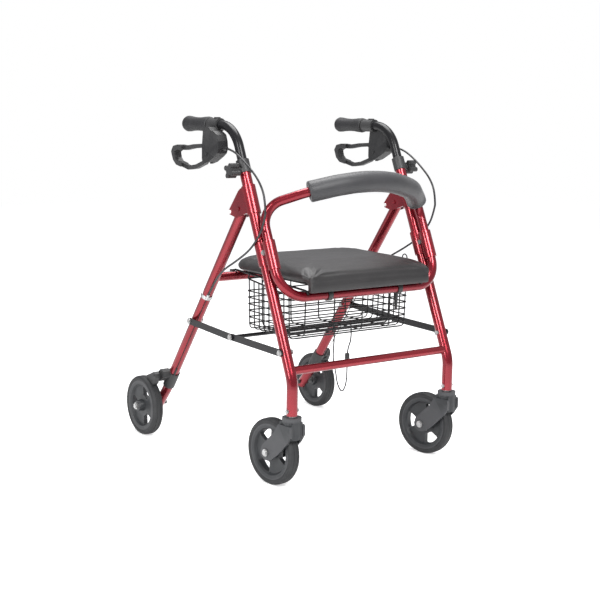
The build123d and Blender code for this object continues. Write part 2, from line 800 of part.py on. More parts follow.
with BuildPart() as rear_wheel_left:
    wheel_core(-REAR_WHEEL_X, 0, REAR_AXLE_Y, 118, -21.5, 15)
rear_wheel_left.part.label = "rear_wheel_left"
export_step(rear_wheel_left.part, "parts/rear_wheel_left.step")

with BuildPart() as rear_wheel_right:
    wheel_core(REAR_WHEEL_X, 0, REAR_AXLE_Y, 120, -15, 21.5)
rear_wheel_right.part.label = "rear_wheel_right"
export_step(rear_wheel_right.part, "parts/rear_wheel_right.step")

with BuildPart() as rear_tyre_left:
    tyre(-REAR_WHEEL_X, 0, REAR_AXLE_Y)
rear_tyre_left.part.label = "rear_tyre_left"
export_step(rear_tyre_left.part, "parts/rear_tyre_left.step")

with BuildPart() as rear_tyre_right:
    tyre(REAR_WHEEL_X, 0, REAR_AXLE_Y)
rear_tyre_right.part.label = "rear_tyre_right"
export_step(rear_tyre_right.part, "parts/rear_tyre_right.step")

# ---------------------------------------------------------------- folding braces
STRIP_W = 8.0
INNER_STRIP = (13.3, 16.3)
OUTER_STRIP = (16.8, 19.8)


def strip(side, span, start, end, hole):
    """Flat link with round ends lying beside one leg."""
    x0 = side * (LEG_X + span[0])
    x1 = side * (LEG_X + span[1])
    a = Vector(start[0], start[1])
    b = Vector(end[0], end[1])
    across = (b - a).normalized() * STRIP_W
    outline = [
        (a.X - across.Y, a.Y + across.X),
        (b.X - across.Y, b.Y + across.X),
        (b.X + across.Y, b.Y - across.X),
        (a.X + across.Y, a.Y - across.X),
    ]
    side_slab(outline, min(x0, x1), max(x0, x1))
    cross_rod(x0, x1, start, STRIP_W)
    cross_rod(x0, x1, end, STRIP_W)
    cross_rod(x0, x1, hole, 3.2, Mode.SUBTRACT)


with BuildPart() as brace_front_links:
    for side in (-1, 1):
        strip(side, INNER_STRIP, BRACE_FRONT, BRACE_MID, BRACE_FRONT)
brace_front_links.part.label = "brace_front_links"
export_step(brace_front_links.part, "parts/brace_front_links.step")

with BuildPart() as pull_bar:
    cross_rod(-LEG_X - INNER_STRIP[0], LEG_X + INNER_STRIP[0], BRACE_MID, 4.5)
pull_bar.part.label = "pull_bar"
export_step(pull_bar.part, "parts/pull_bar.step")

with BuildPart() as brace_rear_links:
    for side in (-1, 1):
        strip(side, OUTER_STRIP, BRACE_MID, BRACE_REAR, BRACE_REAR)
brace_rear_links.part.label = "brace_rear_links"
export_step(brace_rear_links.part, "parts/brace_rear_links.step")

with BuildPart() as brace_mid_bolts:
    for side in (-1, 1):
        dome_head(side * (LEG_X + OUTER_STRIP[1]), side, BRACE_MID, 7.0, 4.0)
brace_mid_bolts.part.label = "brace_mid_bolts"
export_step(brace_mid_bolts.part, "parts/brace_mid_bolts.step")

# ---------------------------------------------------------------- seat
SEAT_X = 187.0
SEAT_TOP = 494.0
SEAT_LOW = 453.5


def seat_outline(inset):
    x = SEAT_X - inset
    front = 12 + inset
    rear = 334 - inset
    return [(-x, front), (x, front), (x, rear), (-x, rear)]


with BuildPart() as seat_pad:
    with BuildSketch(Plane(origin=at(0, 0, SEAT_LOW))) as pad_plan:
        Polygon(*seat_outline(0), align=None)
        fillet(pad_plan.vertices().sort_by(Axis.Y)[2:], 62)
        fillet(pad_plan.vertices().sort_by(Axis.Y)[:2], 26)
    extrude(pad_plan.sketch, amount=SEAT_TOP - SEAT_LOW)
    fillet(seat_pad.faces().sort_by(Axis.Z)[-1].edges(), 16)
    fillet(seat_pad.faces().sort_by(Axis.Z)[0].edges(), 6)
    nose = [(-5, 510), (118, 510), (118, 494.2), (62, 488), (16, 474), (-5, 471)]
    side_slab(nose, -200, 200, 0, Mode.SUBTRACT)
    lip = [(12.5, 472), (11.5, 446), (15, 441), (22, 440), (29, 446), (34, 470)]
    side_slab(lip, -172, 172, 2)
seat_pad.part.label = "seat_pad"
export_step(seat_pad.part, "parts/seat_pad.step")

with BuildPart() as seat_board:
    with BuildSketch(Plane(origin=at(0, 0, 448))) as board_plan:
        Polygon((-160, 36), (160, 36), (160, 308), (-160, 308), align=None)
        fillet(board_plan.vertices(), 30)
    extrude(amount=SEAT_LOW - 448)
seat_board.part.label = "seat_board"
export_step(seat_board.part, "parts/seat_board.step")

CLIP_X = 103.0
with BuildPart() as seat_fittings:
    for clip_x in (-CLIP_X, CLIP_X):
        cross_rod(clip_x - 6, clip_x + 6, SEAT_AXIS, 13.5)
        side_slab([(38, 448), (55, 448), (56, 428), (36, 428)], clip_x - 6, clip_x + 6)
        cross_rod(clip_x - 12, clip_x + 12, SEAT_AXIS, BAR_R + 0.15, Mode.SUBTRACT)
        side_slab([(312, 453.5), (332, 453.5), (332, 447.4), (312, 447.4)], clip_x - 12, clip_x + 12)
    side_slab([(41, 409), (47, 409), (47, 372), (43, 372)], CLIP_X - 5.5, CLIP_X - 0.5)
seat_fittings.part.label = "seat_fittings"
export_step(seat_fittings.part, "parts/seat_fittings.step")

# ---------------------------------------------------------------- basket
RAIL_R = 2.5
RAIL_X = 168.0
HOOK_R = 14.3


def hook_point(centre, angle):
    return at(RAIL_X, centre[0] + HOOK_R * cos(radians(angle)), centre[1] + HOOK_R * sin(radians(angle)))


with BuildPart() as basket:
    shell = [
        (BASKET_FRONT + 2, BASKET_BOTTOM),
        (BASKET_REAR - 2, BASKET_BOTTOM),
        (BASKET_REAR + 3, 438),
        (BASKET_FRONT - 1, 418),
    ]
    side_slab(shell, -BASKET_X, BASKET_X)
    bottom_edges = basket.edges().filter_by(Axis.X).sort_by(Axis.Z)[:2]
    fillet(bottom_edges, 9)
    hollow = [
        (BASKET_FRONT + 4.4, BASKET_BOTTOM + 2.4),
        (BASKET_REAR - 4.4, BASKET_BOTTOM + 2.4),
        (BASKET_REAR + 1, 448),
        (BASKET_FRONT + 1.2, 448),
    ]
    side_slab(hollow, -BASKET_X + 2.4, BASKET_X - 2.4, 6, Mode.SUBTRACT)
    for side in (-1, 1):
        with BuildLine() as rail:
            x = side * RAIL_X
            f_low = hook_point(SEAT_AXIS, 150)
            f_mid = hook_point(SEAT_AXIS, 121)
            f_top = hook_point(SEAT_AXIS, 93)
            r_top = hook_point(REAR_TUBE, 93)
            r_mid = hook_point(REAR_TUBE, 44)
            r_low = hook_point(REAR_TUBE, -5)
            ThreePointArc((x, f_low.Y, f_low.Z), (x, f_mid.Y, f_mid.Z), (x, f_top.Y, f_top.Z))
            Line((x, f_top.Y, f_top.Z), (x, r_top.Y, r_top.Z))
            ThreePointArc((x, r_top.Y, r_top.Z), (x, r_mid.Y, r_mid.Z), (x, r_low.Y, r_low.Z))
        with BuildSketch(Plane(origin=(x, f_low.Y, f_low.Z), z_dir=(0, 0.5, 0.866))) as wire:
            Circle(RAIL_R)
        sweep(wire.sketch, path=rail.line, transition=Transition.ROUND)
        rod(at(x, 324, 450.2), at(side * 185.0, 324, 450.2), RAIL_R)
        for post_y, low_z in ((BASKET_FRONT + 3, 415), (150, 424), (205, 430), (BASKET_REAR - 1, 434)):
            top_z = 436.6 + (post_y - 44) * 14.0 / 280.5
            rod(at(side * 170.6, post_y, low_z), at(side * RAIL_X, post_y, top_z), 1.4)
basket.part.label = "basket"
export_step(basket.part, "parts/basket.step")

# ---------------------------------------------------------------- pull cord
CORD_R = 1.75
CORD_Y = BRACE_MID[0]
with BuildPart() as pull_cord:
    pipe(
        [
            at(107, CORD_Y, 305.2),
            at(111, CORD_Y, 272),
            at(97, CORD_Y, 243),
            at(98, CORD_Y, 200),
            at(97, CORD_Y, 158),
            at(84, CORD_Y, 134),
            at(68, CORD_Y, 158),
            at(62, CORD_Y, 192),
            at(52, CORD_Y, 228),
            at(55, CORD_Y, 268),
            at(56, CORD_Y, 305.2),
        ],
        [40, 40, 40, 26, 11, 26, 40, 40, 40],
        CORD_R,
    )
pull_cord.part.label = "pull_cord"
export_step(pull_cord.part, "parts/pull_cord.step")

with BuildPart() as cord_toggle:
    rod(at(97.9, CORD_Y, 216), at(97.3, CORD_Y, 234), 6.0)
    rod(at(98.5, CORD_Y, 200), at(97, CORD_Y, 243), CORD_R + 0.4, Mode.SUBTRACT)
cord_toggle.part.label = "cord_toggle"
export_step(cord_toggle.part, "parts/cord_toggle.step")

# ---------------------------------------------------------------- brake cables
CABLE_R = 2.5
CABLE_X = 250.0


def cable_upper(side):
    x = side * CABLE_X
    pipe(
        [
            at(side * 250, 239.8, 742.5),
            at(side * 251, 212, 739),
            at(side * 252, 176, 722),
            at(x, 140, 700),
            at(x, 105, 672),
            at(x, 86, 640),
            at(x, 84, 610),
        ],
        [80, 80, 90, 70, 60],
        CABLE_R,
    )


def cable_lower(side):
    x = side * CABLE_X
    stop = along_rear(STOP_S - 16.2, WIRE_FORWARD)
    near = along_rear(STOP_S - 60, WIRE_FORWARD + 3)
    stop_x = side * WIRE_X
    pipe(
        [
            at(x, 84, 608),
            at(x, 92, 578),
            at(x, 112, 550),
            at(x, 146, 519),
            at(x, 200, 489),
            at(x, 254, 463),
            at(stop_x + side * 1.5, *near),
            at(stop_x, *stop),
        ],
        [60, 60, 90, 150, 120, 80],
        CABLE_R,
    )


with BuildPart() as cable_upper_left:
    cable_upper(-1)
cable_upper_left.part.label = "cable_upper_left"
export_step(cable_upper_left.part, "parts/cable_upper_left.step")

with BuildPart() as cable_upper_right:
    cable_upper(1)
cable_upper_right.part.label = "cable_upper_right"
export_step(cable_upper_right.part, "parts/cable_upper_right.step")

with BuildPart() as cable_lower_left:
    cable_lower(-1)
cable_lower_left.part.label = "cable_lower_left"
export_step(cable_lower_left.part, "parts/cable_lower_left.step")

with BuildPart() as cable_lower_right:
    cable_lower(1)
cable_lower_right.part.label = "cable_lower_right"
export_step(cable_lower_right.part, "parts/cable_lower_right.step")
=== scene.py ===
import bpy
import bmesh
import json
import math
from mathutils import Vector, Matrix, noise


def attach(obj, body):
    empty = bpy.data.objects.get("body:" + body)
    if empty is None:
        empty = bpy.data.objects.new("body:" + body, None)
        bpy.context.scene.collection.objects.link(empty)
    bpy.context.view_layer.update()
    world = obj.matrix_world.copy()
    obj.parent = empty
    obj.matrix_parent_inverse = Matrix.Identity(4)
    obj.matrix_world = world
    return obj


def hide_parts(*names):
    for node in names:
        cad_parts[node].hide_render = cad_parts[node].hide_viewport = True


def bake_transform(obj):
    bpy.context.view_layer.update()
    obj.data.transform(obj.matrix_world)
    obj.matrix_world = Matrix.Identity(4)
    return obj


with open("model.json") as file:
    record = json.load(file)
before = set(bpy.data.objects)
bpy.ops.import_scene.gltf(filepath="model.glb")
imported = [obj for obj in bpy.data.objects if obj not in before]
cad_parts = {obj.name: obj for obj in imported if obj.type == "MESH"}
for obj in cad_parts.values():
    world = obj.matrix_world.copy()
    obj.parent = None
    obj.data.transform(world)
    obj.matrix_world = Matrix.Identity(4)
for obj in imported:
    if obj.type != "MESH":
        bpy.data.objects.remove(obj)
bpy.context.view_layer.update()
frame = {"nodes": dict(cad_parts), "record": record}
nodes = frame["nodes"]

# Side coordinates are metres behind the caster stems; SHIFT brings them to the row frame.
SHIFT = -0.3183
LEG_X = 0.231
# the front legs lean back above the knee: LEG_UP is the rise per unit along them,
# LEG_SLOPE the lean per unit of rise
LEG_KNEE_Z = 0.2444
LEG_UP = 0.9170
LEG_SLOPE = 0.3988 / LEG_UP
# the second tube of each side runs this far in front of the leg
TUBE_FORWARD = 0.030
SEAT_TUBE_Z = 0.4220
FOLD_PIVOT = (0.1966, 0.6090)
REAR_KNEE = (0.5460, 0.1200)
REAR_TUBE = (0.3250, 0.4360)


def at(x, y, z):
    """Row-frame point from side coordinates."""
    return Vector((x, y + SHIFT, z))


def on_leg(z, forward=0.0):
    """Side coordinates of a point on the leg line, or in front of it."""
    return ((z - LEG_KNEE_Z) * LEG_SLOPE - forward / LEG_UP, z)


def clamp(value, low=0.0, high=1.0):
    return max(low, min(high, value))


# ------------------------------------------------------------------ camera
AZ = math.radians(-36.34)
EL = math.radians(9.13)
ROLL = math.radians(0.95)
LENS = 71.9
DISTANCE = 2.9659
AIM = at(0, 0.2910, 0.3671)
back = Vector((math.sin(AZ) * math.cos(EL), -math.cos(AZ) * math.cos(EL), math.sin(EL)))
right = Vector((math.cos(AZ), math.sin(AZ), 0.0))
up = back.cross(right)
cam_x = right * math.cos(ROLL) + up * math.sin(ROLL)
cam_y = up * math.cos(ROLL) - right * math.sin(ROLL)
cam_data = bpy.data.cameras.new("Camera")
cam_data.lens = LENS
cam_data.sensor_width = 36.0
cam_data.clip_end = 50.0
camera = bpy.data.objects.new("Camera", cam_data)
turn = Matrix((cam_x, cam_y, back)).transposed().to_4x4()
camera.matrix_world = Matrix.Translation(AIM + back * DISTANCE) @ turn
bpy.context.scene.collection.objects.link(camera)
bpy.context.scene.camera = camera


# ------------------------------------------------------------------ materials
def new_material(name):
    mat = bpy.data.materials.new(name)
    mat.use_nodes = True
    tree = mat.node_tree
    return mat, tree, tree.nodes["Principled BSDF"]


def noise_node(tree, scale, detail=3.0, rough=0.5, stretch=(1, 1, 1)):
    coord = tree.nodes.new("ShaderNodeTexCoord")
    mapping = tree.nodes.new("ShaderNodeMapping")
    mapping.inputs["Scale"].default_value = stretch
    tree.links.new(coord.outputs["Object"], mapping.inputs["Vector"])
    tex = tree.nodes.new("ShaderNodeTexNoise")
    tex.inputs["Scale"].default_value = scale
    tex.inputs["Detail"].default_value = detail
    tex.inputs["Roughness"].default_value = rough
    tree.links.new(mapping.outputs["Vector"], tex.inputs["Vector"])
    return tex


def ramp(tree, source, stops):
    node = tree.nodes.new("ShaderNodeValToRGB")
    elements = node.color_ramp.elements
    while len(elements) < len(stops):
        elements.new(0.5)
    for element, (place, colour) in zip(elements, stops):
        element.position = place
        element.color = (*colour, 1.0)
    tree.links.new(source, node.inputs["Fac"])
    return node


def bump(tree, bsdf, source, strength, distance, before=None):
    node = tree.nodes.new("ShaderNodeBump")
    node.inputs["Strength"].default_value = strength
    node.inputs["Distance"].default_value = distance
    tree.links.new(source, node.inputs["Height"])
    if before is not None:
        tree.links.new(before.outputs["Normal"], node.inputs["Normal"])
    tree.links.new(node.outputs["Normal"], bsdf.inputs["Normal"])
    return node


def spread(tree, source, low, high):
    node = tree.nodes.new("ShaderNodeMapRange")
    node.inputs["To Min"].default_value = low
    node.inputs["To Max"].default_value = high
    tree.links.new(source, node.inputs["Value"])
    return node


def painted_edge_highlight(tree, base_socket, highlight_colour, bsdf, amount):
    """Slightly lighter convex edges on moulded and painted parts, a painted highlight."""
    geometry = tree.nodes.new("ShaderNodeNewGeometry")
    edge_highlight = ramp(
        tree,
        geometry.outputs["Pointiness"],
        [(0.52, (0, 0, 0)), (0.60, (1, 1, 1))],
    )
    scaled = tree.nodes.new("ShaderNodeMath")
    scaled.operation = "MULTIPLY"
    scaled.inputs[1].default_value = amount
    tree.links.new(edge_highlight.outputs["Color"], scaled.inputs[0])
    mix = tree.nodes.new("ShaderNodeMix")
    mix.data_type = "RGBA"
    mix.inputs["B"].default_value = (*highlight_colour, 1.0)
    tree.links.new(scaled.outputs["Value"], mix.inputs["Factor"])
    tree.links.new(base_socket, mix.inputs["A"])
    tree.links.new(mix.outputs["Result"], bsdf.inputs["Base Color"])


def paint(name, dark, light, edge_highlight, rough=(0.2, 0.3), metallic=0.0, coat=0.7, shine=0.5):
    """Lacquered metal with a faint orange peel."""
    mat, tree, bsdf = new_material(name)
    cloud = noise_node(tree, 14.0, 4.0)
    colour = ramp(tree, cloud.outputs["Fac"], [(0.3, dark), (0.7, light)])
    # the convex edges get a painted highlight
    painted_edge_highlight(tree, colour.outputs["Color"], edge_highlight, bsdf, 0.3)
    fine = noise_node(tree, 60.0, 2.0)
    rough_node = spread(tree, fine.outputs["Fac"], *rough)
    tree.links.new(rough_node.outputs["Result"], bsdf.inputs["Roughness"])
    peel = noise_node(tree, 420.0, 1.0)
    bump(tree, bsdf, peel.outputs["Fac"], 0.02, 0.0004)
    bsdf.inputs["Metallic"].default_value = metallic
    bsdf.inputs["Coat Weight"].default_value = coat
    bsdf.inputs["Specular IOR Level"].default_value = shine
    bsdf.inputs["Coat Roughness"].default_value = 0.07
    return mat


def plastic(name, dark, light, edge_highlight, rough=(0.4, 0.55), grain=0.25, size=900.0):
    """Moulded plastic or rubber with a fine spark-eroded grain."""
    mat, tree, bsdf = new_material(name)
    cloud = noise_node(tree, 25.0, 5.0, 0.6)
    colour = ramp(tree, cloud.outputs["Fac"], [(0.3, dark), (0.72, light)])
    # the convex edges get a painted highlight
    painted_edge_highlight(tree, colour.outputs["Color"], edge_highlight, bsdf, 0.5)
    patch = noise_node(tree, 45.0, 3.0)
    rough_node = spread(tree, patch.outputs["Fac"], *rough)
    tree.links.new(rough_node.outputs["Result"], bsdf.inputs["Roughness"])
    coord = tree.nodes.new("ShaderNodeTexCoord")
    cells = tree.nodes.new("ShaderNodeTexVoronoi")
    cells.inputs["Scale"].default_value = size
    tree.links.new(coord.outputs["Object"], cells.inputs["Vector"])
    bump(tree, bsdf, cells.outputs["Distance"], grain, 0.00025)
    return mat


def metal(name, dark, light, rough=(0.25, 0.42)):
    mat, tree, bsdf = new_material(name)
    cloud = noise_node(tree, 90.0, 4.0, 0.6)
    colour = ramp(tree, cloud.outputs["Fac"], [(0.3, dark), (0.7, light)])
    tree.links.new(colour.outputs["Color"], bsdf.inputs["Base Color"])
    brushed = noise_node(tree, 300.0, 2.0, 0.5, (0.15, 1.0, 1.0))
    rough_node = spread(tree, brushed.outputs["Fac"], *rough)
    tree.links.new(rough_node.outputs["Result"], bsdf.inputs["Roughness"])
    bump(tree, bsdf, brushed.outputs["Fac"], 0.12, 0.0002)
    bsdf.inputs["Metallic"].default_value = 1.0
    return mat


def tyre_rubber(name):
    """Solid rubber, a little dusty."""
    mat, tree, bsdf = new_material(name)
    dust = noise_node(tree, 30.0, 6.0, 0.65)
    colour = ramp(
        tree,
        dust.outputs["Fac"],
        [
            (0.35, (0.014, 0.0145, 0.016)),
            (0.62, (0.026, 0.027, 0.028)),
            (0.8, (0.045, 0.044, 0.043)),
        ],
    )
    tree.links.new(colour.outputs["Color"], bsdf.inputs["Base Color"])
    rough_node = spread(tree, dust.outputs["Fac"], 0.5, 0.75)
    tree.links.new(rough_node.outputs["Result"], bsdf.inputs["Roughness"])
    grit = noise_node(tree, 700.0, 3.0, 0.6)
    bump(tree, bsdf, grit.outputs["Fac"], 0.25, 0.0004)
    return mat


def vinyl_skin(name):
    """Embossed vinyl: leather pebbles with soft creases, satin shine."""
    mat, tree, bsdf = new_material(name)
    coord = tree.nodes.new("ShaderNodeTexCoord")
    wobble = noise_node(tree, 130.0, 2.0)
    warp = tree.nodes.new("ShaderNodeMix")
    warp.data_type = "VECTOR"
    warp.inputs["Factor"].default_value = 0.004
    tree.links.new(coord.outputs["Object"], warp.inputs["A"])
    tree.links.new(wobble.outputs["Color"], warp.inputs["B"])
    pebble = tree.nodes.new("ShaderNodeTexVoronoi")
    pebble.feature = "DISTANCE_TO_EDGE"
    pebble.inputs["Scale"].default_value = 520.0
    tree.links.new(warp.outputs["Result"], pebble.inputs["Vector"])
    emboss = ramp(
        tree,
        pebble.outputs["Distance"],
        [(0.0, (0, 0, 0)), (0.12, (1, 1, 1))],
    )
    first = bump(tree, bsdf, emboss.outputs["Color"], 0.22, 0.0004)
    crease = noise_node(tree, 22.0, 6.0, 0.62)
    bump(tree, bsdf, crease.outputs["Fac"], 0.18, 0.004, first)
    cloud = noise_node(tree, 9.0, 5.0, 0.6)
    colour = ramp(
        tree,
        cloud.outputs["Fac"],
        [(0.3, (0.014, 0.013, 0.0135)), (0.7, (0.024, 0.0225, 0.023))],
    )
    tree.links.new(colour.outputs["Color"], bsdf.inputs["Base Color"])
    rough_node = spread(tree, crease.outputs["Fac"], 0.42, 0.56)
    tree.links.new(rough_node.outputs["Result"], bsdf.inputs["Roughness"])
    bsdf.inputs["Coat Weight"].default_value = 0.12
    bsdf.inputs["Coat Roughness"].default_value = 0.3
    return mat


def foam_skin(name):
    """Closed-cell foam with small pores and shallow dents."""
    mat, tree, bsdf = new_material(name)
    cloud = noise_node(tree, 12.0, 5.0, 0.6)
    colour = ramp(
        tree,
        cloud.outputs["Fac"],
        [(0.3, (0.022, 0.022, 0.024)), (0.7, (0.036, 0.036, 0.039))],
    )
    tree.links.new(colour.outputs["Color"], bsdf.inputs["Base Color"])
    coord = tree.nodes.new("ShaderNodeTexCoord")
    pores = tree.nodes.new("ShaderNodeTexVoronoi")
    pores.inputs["Scale"].default_value = 1100.0
    tree.links.new(coord.outputs["Object"], pores.inputs["Vector"])
    first = bump(tree, bsdf, pores.outputs["Distance"], 0.35, 0.0003)
    dents = noise_node(tree, 35.0, 4.0)
    bump(tree, bsdf, dents.outputs["Fac"], 0.12, 0.003, first)
    rough_node = spread(tree, cloud.outputs["Fac"], 0.40, 0.54)
    tree.links.new(rough_node.outputs["Result"], bsdf.inputs["Roughness"])
    bsdf.inputs["Sheen Weight"].default_value = 0.15
    return mat


def ribbed_sheath(name, dark, light, ribs=1400.0, rough=(0.3, 0.45)):
    """Cable sheath or woven cord."""
    mat, tree, bsdf = new_material(name)
    cloud = noise_node(tree, 60.0, 3.0)
    colour = ramp(tree, cloud.outputs["Fac"], [(0.3, dark), (0.7, light)])
    tree.links.new(colour.outputs["Color"], bsdf.inputs["Base Color"])
    rough_node = spread(tree, cloud.outputs["Fac"], *rough)
    tree.links.new(rough_node.outputs["Result"], bsdf.inputs["Roughness"])
    fine = noise_node(tree, ribs, 2.0)
    bump(tree, bsdf, fine.outputs["Fac"], 0.2, 0.0002)
    return mat


RED = paint(
    "candy_red_paint",
    (0.185, 0.0030, 0.011),
    (0.265, 0.0050, 0.017),
    (0.42, 0.04, 0.05),
    metallic=0.7,
    coat=0.6,
)
BLACK_PAINT = paint(
    "gloss_black_paint",
    (0.005, 0.005, 0.006),
    (0.010, 0.010, 0.011),
    (0.03, 0.03, 0.033),
    rough=(0.26, 0.36),
    coat=0.14,
    shine=0.25,
)
BLACK_PLASTIC = plastic(
    "black_plastic",
    (0.009, 0.009, 0.010),
    (0.018, 0.018, 0.019),
    (0.05, 0.05, 0.05),
)
GREY_PLASTIC = plastic(
    "dark_grey_plastic",
    (0.018, 0.020, 0.022),
    (0.032, 0.034, 0.037),
    (0.08, 0.08, 0.085),
)
GRIP_RUBBER = plastic(
    "grip_rubber",
    (0.010, 0.010, 0.011),
    (0.020, 0.020, 0.022),
    (0.04, 0.04, 0.04),
    rough=(0.5, 0.66),
    grain=0.4,
    size=600.0,
)
BOARD = plastic(
    "seat_board_black",
    (0.010, 0.010, 0.010),
    (0.020, 0.020, 0.021),
    (0.05, 0.05, 0.05),
    rough=(0.6, 0.75),
)
TYRE = tyre_rubber("solid_tyre")
STEEL = metal("zinc_steel", (0.42, 0.42, 0.42), (0.66, 0.66, 0.65))
DARK_WIRE = metal("oiled_wire", (0.035, 0.035, 0.036), (0.08, 0.08, 0.082), (0.4, 0.55))
NYLON = plastic(
    "white_nylon",
    (0.70, 0.70, 0.68),
    (0.82, 0.82, 0.80),
    (0.9, 0.9, 0.9),
    rough=(0.35, 0.5),
    grain=0.1,
)
VINYL = vinyl_skin("seat_vinyl")
FOAM = foam_skin("backrest_foam")
WIRE = paint(
    "black_coated_wire",
    (0.006, 0.006, 0.007),
    (0.012, 0.012, 0.013),
    (0.04, 0.04, 0.04),
    rough=(0.35, 0.45),
    coat=0.1,
    shine=0.3,
)
SHEATH = ribbed_sheath("cable_sheath", (0.012, 0.012, 0.013), (0.026, 0.026, 0.028))
CORD = ribbed_sheath(
    "woven_cord",
    (0.014, 0.014, 0.015),
    (0.045, 0.045, 0.048),
    ribs=2400.0,
    rough=(0.7, 0.85),
)

BY_SLOT = {
    "red_paint": RED,
    "black_gloss": BLACK_PAINT,
    "grip_rubber": GRIP_RUBBER,
    "black_plastic": BLACK_PLASTIC,
    "grey_plastic": GREY_PLASTIC,
    "tyre_rubber": TYRE,
    "steel": STEEL,
    "nylon_white": NYLON,
    "foam": FOAM,
    "vinyl": VINYL,
    "board": BOARD,
    "black_wire": WIRE,
    "cable_sheath": SHEATH,
    "cord": CORD,
}
SLOT_OF = {item["node"]: item["material_slot"] for item in frame["record"]["subparts"]}
for node_name, node in nodes.items():
    finish = DARK_WIRE if node_name == "brake_wires" else BY_SLOT[SLOT_OF[node_name]]
    node.data.materials.clear()
    node.data.materials.append(finish)


# ------------------------------------------------------------------ mesh helpers
def link_object(name, data):
    obj = bpy.data.objects.new(name, data)
    bpy.context.scene.collection.objects.link(obj)
    return obj


def shade_smooth(mesh):
    mesh.polygons.foreach_set("use_smooth", [True] * len(mesh.polygons))


def add_mesh(name, verts, faces, material):
    mesh = bpy.data.meshes.new(name)
    mesh.from_pydata([tuple(v) for v in verts], [], faces)
    mesh.update()
    obj = link_object(name, mesh)
    mesh.materials.append(material)
    shade_smooth(mesh)
    return obj


def skin(rows, sides):
    """Quads between rows of points, each row closed on itself."""
    faces = []
    for i in range(rows - 1):
        for k in range(sides):
            k2 = (k + 1) % sides
            low, high = i * sides, (i + 1) * sides
            faces.append((low + k, low + k2, high + k2, high + k))
    return faces


def end_caps(rows, sides):
    return [
        tuple(range(sides))[::-1],
        tuple((rows - 1) * sides + k for k in range(sides)),
    ]


def circle(centre, a, b, radius, sides):
    out = []
    for k in range(sides):
        w = 2 * math.pi * k / sides
        out.append(centre + (a * math.cos(w) + b * math.sin(w)) * radius)
    return out


def rounded_path(points, radii, step=0.004):
    """Centre line of a bent metal tube: straight runs joined by tangent arcs."""
    out = [Vector(points[0])]
    for i in range(1, len(points) - 1):
        p, a, b = Vector(points[i]), Vector(points[i - 1]), Vector(points[i + 1])
        u = (a - p).normalized()
        v = (b - p).normalized()
        half = u.angle(v) / 2
        reach = radii[i - 1] / math.tan(half)
        start = p + u * reach
        middle = (u + v).normalized()
        centre = p + middle * (radii[i - 1] / math.sin(half))
        sweep = math.pi - 2 * half
        count = max(3, int(radii[i - 1] * sweep / step))
        s_vec = start - centre
        axis = s_vec.cross(p + v * reach - centre).normalized()
        for k in range(count + 1):
            out.append(centre + Matrix.Rotation(sweep * k / count, 3, axis) @ s_vec)
    out.append(Vector(points[-1]))
    return out


def resample(path, step):
    """The path in equal steps, with its own last point."""
    out = [path[0].copy()]
    left = step
    for a, b in zip(path, path[1:]):
        length = (b - a).length
        if length < 1e-9:
            continue
        place = left
        while place < length:
            out.append(a.lerp(b, place / length))
            place += step
        left = place - length
    out.append(path[-1].copy())
    return out


def path_frames(path):
    """Parallel-transport frames along a path."""
    tangents = []
    for i in range(len(path)):
        a = path[max(i - 1, 0)]
        b = path[min(i + 1, len(path) - 1)]
        tangents.append((b - a).normalized())
    side = tangents[0].orthogonal().normalized()
    frames = []
    for i, t in enumerate(tangents):
        if i:
            side = (side - t * side.dot(t)).normalized()
        frames.append((t, side, t.cross(side)))
    return frames


def tube(name, path, radius, material, sides):
    """Closed round bar along a path."""
    verts = []
    for p, (_, a, b) in zip(path, path_frames(path)):
        verts += circle(p, a, b, radius, sides)
    faces = skin(len(path), sides) + end_caps(len(path), sides)
    return add_mesh(name, verts, faces, material)


def join(objects, name):
    """One object out of several."""
    bpy.ops.object.select_all(action="DESELECT")
    for obj in objects:
        obj.select_set(True)
    bpy.context.view_layer.objects.active = objects[0]
    bpy.ops.object.join()
    objects[0].name = name
    objects[0].data.name = name
    return objects[0]


def nurbs_curve(name, points, radius, material):
    curve = bpy.data.curves.new(name, "CURVE")
    curve.dimensions = "3D"
    curve.bevel_depth = radius
    curve.bevel_resolution = 3
    curve.resolution_u = 10
    curve.use_fill_caps = True
    spline = curve.splines.new("NURBS")
    spline.points.add(len(points) - 1)
    for target, p in zip(spline.points, points):
        target.co = (*p, 1.0)
    spline.order_u = 3
    spline.use_endpoint_u = True
    obj = link_object(name, curve)
    curve.materials.append(material)
    return obj


def curve_to_mesh(obj):
    depsgraph = bpy.context.evaluated_depsgraph_get()
    mesh = bpy.data.meshes.new_from_object(obj.evaluated_get(depsgraph))
    name = obj.name
    material = obj.data.materials[0]
    bpy.data.objects.remove(obj)
    made = link_object(name, mesh)
    made.name = name
    if not mesh.materials:
        mesh.materials.append(material)
    shade_smooth(mesh)
    return made


# ------------------------------------------------------------------ pull cord
# a loop under the pull bar, both ends on the bar
CORD_Y = 0.221
CORD_XZ = (
    (0.107, 0.3052),
    (0.111, 0.272),
    (0.097, 0.243),
    (0.098, 0.200),
    (0.097, 0.158),
    (0.084, 0.134),
    (0.068, 0.158),
    (0.062, 0.192),
    (0.052, 0.228),
    (0.055, 0.268),
    (0.056, 0.3052),
)
cord_points = [at(x, CORD_Y, z) for x, z in CORD_XZ]
pull_cord = nurbs_curve("elastic_pull_cord", cord_points, 0.00175, CORD)
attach(pull_cord, "cord")
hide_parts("pull_cord")

# ------------------------------------------------------------------ brake cables
CABLE_X = 0.250
CABLE_R = 0.0024
REAR_RUN = (Vector(REAR_KNEE) - Vector(FOLD_PIVOT)).normalized()


def along_rear(distance, forward):
    """Side coordinates beside the rear leg, measured down from the hinge."""
    y = FOLD_PIVOT[0] + distance * REAR_RUN[0] + forward * REAR_RUN[1]
    z = FOLD_PIVOT[1] + distance * REAR_RUN[1] - forward * REAR_RUN[0]
    return y, z


